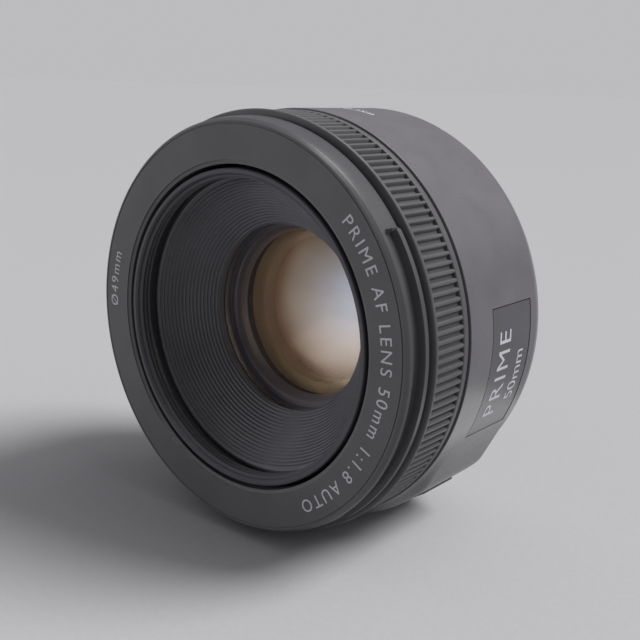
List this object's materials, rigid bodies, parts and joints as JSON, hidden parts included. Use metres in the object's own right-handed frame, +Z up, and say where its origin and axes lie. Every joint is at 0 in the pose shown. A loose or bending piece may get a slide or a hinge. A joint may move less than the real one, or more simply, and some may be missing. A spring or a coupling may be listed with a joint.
{
  "type": "prime camera lens",
  "caption": "Compact autofocus prime lens: ribbed focus ring, sliding optical unit driven by a cam ring, bladed iris, focus switch and metal bayonet mount.",
  "frame": {"origin": "centre of the lens's box, on the surface that it lies on: under the optical axis, half-way along it, level with the resting flat of the switch panel", "axes": "+Y along the optical axis from the front face to the mount, +Z up with the lens lying on its switch panel, +X to the right seen from the front"},
  "size_m": [0.0692, 0.0448, 0.0698],
  "materials": {
    "black_plastic": "fine satin-grained moulding",
    "barrel_plastic": "fine satin-grained moulding",
    "plate_plastic": "smooth inlaid label plate",
    "inner_plastic": "matt anti-reflection black",
    "mount_steel": "fine turned steel",
    "screw_steel": "plain steel",
    "index_red": "enamel-filled mark",
    "contact_plastic": "dense black moulding",
    "contact_gold": "gold-plated contact",
    "board_green": "solder-masked circuit board",
    "dark_aluminium": "black-anodised, lightly worn",
    "gear_brass": "machined brass",
    "blade_black": "blackened spring steel",
    "coated_glass": "multi-coated optical glass with an amber cast",
    "marking_white": "printed marking"
  },
  "bodies": {
    "barrel": {"front_barrel": "black_plastic", "rear_barrel": "barrel_plastic", "name_plate": "plate_plastic", "switch_panel": "black_plastic", "switch_board": "board_green", "ring_sensor": "contact_plastic", "bayonet_mount": "mount_steel", "mount_index_dot": "index_red", "mount_screw_1": "screw_steel", "mount_screw_2": "screw_steel", "mount_screw_3": "screw_steel", "mount_screw_4": "screw_steel", "rear_baffle": "inner_plastic", "contact_block": "contact_plastic", "main_board": "board_green", "lens_processor": "contact_plastic", "guide_barrel": "dark_aluminium", "guide_screw_1": "screw_steel", "guide_screw_2": "screw_steel", "guide_screw_3": "screw_steel", "gear_axle_1": "screw_steel", "gear_axle_2": "screw_steel", "gear_frame": "screw_steel", "focus_motor": "screw_steel"},
    "focus_ring": {"focus_ring": "black_plastic"},
    "focus_switch": {"switch_knob": "black_plastic"},
    "cam_ring": {"cam_ring": "dark_aluminium"},
    "gear_2": {"gear_2": "gear_brass"},
    "gear_1": {"gear_1": "gear_brass"},
    "motor_pinion": {"motor_pinion": "gear_brass"},
    "optical_unit": {"inner_barrel": "inner_plastic", "cam_follower_1": "gear_brass", "cam_follower_2": "gear_brass", "cam_follower_3": "gear_brass", "ribbed_baffle": "inner_plastic", "front_retainer": "inner_plastic", "lens_1": "coated_glass", "lens_2": "coated_glass", "lens_3": "coated_glass", "lens_4": "coated_glass", "lens_5": "coated_glass", "lens_6": "coated_glass", "front_lens_cell": "inner_plastic", "spacer_ring": "dark_aluminium", "rear_lens_cell": "inner_plastic", "rear_retainer": "inner_plastic", "iris_base": "dark_aluminium", "iris_cover": "dark_aluminium", "iris_motor": "screw_steel"},
    "iris_ring": {"iris_ring": "screw_steel"},
    "iris_pinion": {"iris_pinion": "gear_brass"},
    "iris_blade_1": {"iris_blade_1": "blade_black"},
    "iris_blade_2": {"iris_blade_2": "blade_black"},
    "iris_blade_3": {"iris_blade_3": "blade_black"},
    "iris_blade_4": {"iris_blade_4": "blade_black"},
    "iris_blade_5": {"iris_blade_5": "blade_black"},
    "iris_blade_6": {"iris_blade_6": "blade_black"},
    "iris_blade_7": {"iris_blade_7": "blade_black"}
  },
  "joints": [
    {"name": "focus_ring_turn", "type": "hinge", "parent": "barrel", "child": "focus_ring", "pos_m": [0, 0, 0.0352], "axis": [0, 1, 0], "continuous": true},
    {"name": "focus_switch_slide", "type": "slide", "parent": "barrel", "child": "focus_switch", "axis": [0, 1, 0], "range_m": [0, 0.0025]},
    {"name": "cam_turn", "type": "hinge", "parent": "barrel", "child": "cam_ring", "pos_m": [0, 0, 0.0352], "axis": [0, 1, 0], "range_deg": [0, 80]},
    {"name": "focus_travel", "type": "slide", "parent": "barrel", "child": "optical_unit", "axis": [0, -1, 0], "range_m": [0, 0.0105]},
    {"name": "gear_2_turn", "type": "hinge", "parent": "barrel", "child": "gear_2", "pos_m": [-0.00448, 0, 0.06061], "axis": [0, 1, 0], "range_deg": [-609, 1]},
    {"name": "gear_1_turn", "type": "hinge", "parent": "barrel", "child": "gear_1", "pos_m": [-0.01074, 0, 0.05844], "axis": [0, 1, 0], "range_deg": [-1, 1065]},
    {"name": "motor_pinion_turn", "type": "hinge", "parent": "barrel", "child": "motor_pinion", "pos_m": [-0.01663, 0, 0.05545], "axis": [0, 1, 0], "range_deg": [-1863, 1]},
    {"name": "iris_turn", "type": "hinge", "parent": "optical_unit", "child": "iris_ring", "pos_m": [0, 0, 0.0352], "axis": [0, -1, 0], "range_deg": [0, 5.6]},
    {"name": "iris_pinion_turn", "type": "hinge", "parent": "optical_unit", "child": "iris_pinion", "pos_m": [-0.01466, 0, 0.02986], "axis": [0, -1, 0], "range_deg": [0, 78.5]},
    {"name": "iris_blade_1_turn", "type": "hinge", "parent": "optical_unit", "child": "iris_blade_1", "pos_m": [0.01439, 0, 0.0347], "axis": [0, -1, 0], "range_deg": [0, 35.1]},
    {"name": "iris_blade_2_turn", "type": "hinge", "parent": "optical_unit", "child": "iris_blade_2", "pos_m": [0.00937, 0, 0.04614], "axis": [0, -1, 0], "range_deg": [0, 35.1]},
    {"name": "iris_blade_3_turn", "type": "hinge", "parent": "optical_unit", "child": "iris_blade_3", "pos_m": [-0.00271, 0, 0.04934], "axis": [0, -1, 0], "range_deg": [0, 35.1]},
    {"name": "iris_blade_4_turn", "type": "hinge", "parent": "optical_unit", "child": "iris_blade_4", "pos_m": [-0.01275, 0, 0.0419], "axis": [0, -1, 0], "range_deg": [0, 35.1]},
    {"name": "iris_blade_5_turn", "type": "hinge", "parent": "optical_unit", "child": "iris_blade_5", "pos_m": [-0.01318, 0, 0.02941], "axis": [0, -1, 0], "range_deg": [0, 35.1]},
    {"name": "iris_blade_6_turn", "type": "hinge", "parent": "optical_unit", "child": "iris_blade_6", "pos_m": [-0.00369, 0, 0.02128], "axis": [0, -1, 0], "range_deg": [0, 35.1]},
    {"name": "iris_blade_7_turn", "type": "hinge", "parent": "optical_unit", "child": "iris_blade_7", "pos_m": [0.00858, 0, 0.02364], "axis": [0, -1, 0], "range_deg": [0, 35.1]}
  ],
  "couplings": [
    {"joint": "focus_travel", "follows": "cam_turn", "m_per_rad": 0.00752},
    {"joint": "gear_2_turn", "follows": "cam_turn", "ratio": -7.6},
    {"joint": "gear_1_turn", "follows": "cam_turn", "ratio": 13.3},
    {"joint": "motor_pinion_turn", "follows": "cam_turn", "ratio": -23.275},
    {"joint": "iris_pinion_turn", "follows": "iris_turn", "ratio": 14},
    {"joint": "iris_blade_1_turn", "follows": "iris_turn", "ratio": 6.25},
    {"joint": "iris_blade_2_turn", "follows": "iris_turn", "ratio": 6.25},
    {"joint": "iris_blade_3_turn", "follows": "iris_turn", "ratio": 6.25},
    {"joint": "iris_blade_4_turn", "follows": "iris_turn", "ratio": 6.25},
    {"joint": "iris_blade_5_turn", "follows": "iris_turn", "ratio": 6.25},
    {"joint": "iris_blade_6_turn", "follows": "iris_turn", "ratio": 6.25},
    {"joint": "iris_blade_7_turn", "follows": "iris_turn", "ratio": 6.25}
  ]
}
